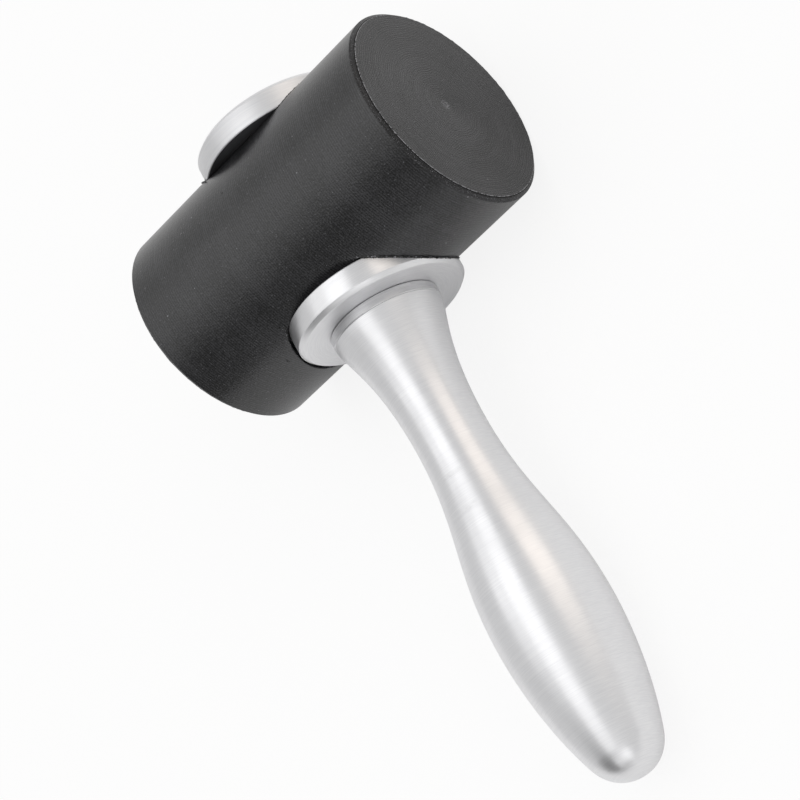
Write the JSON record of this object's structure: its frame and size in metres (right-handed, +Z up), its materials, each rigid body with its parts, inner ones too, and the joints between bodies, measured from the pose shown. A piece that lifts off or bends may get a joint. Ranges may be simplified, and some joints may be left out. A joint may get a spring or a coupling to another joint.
{
  "type": "nylon mallet",
  "caption": "Hand mallet with a black cylindrical nylon head clamped between aluminium discs on a contoured turned aluminium handle.",
  "frame": {"origin": "on the bench that the mallet lies on, under the middle of its bounding box", "axes": "+X along the head, +Y from the butt of the handle towards the cap, +Z up from the bench"},
  "size_m": [0.1, 0.21, 0.063],
  "materials": {
    "nylon_black": "turned, satin",
    "aluminium_satin": "turned, satin",
    "steel_black": "blackened"
  },
  "bodies": {
    "root": {"nylon_head": "nylon_black", "top_cap": "aluminium_satin", "collar": "aluminium_satin", "handle": "aluminium_satin", "clamp_screw": "steel_black"}
  },
  "joints": []
}
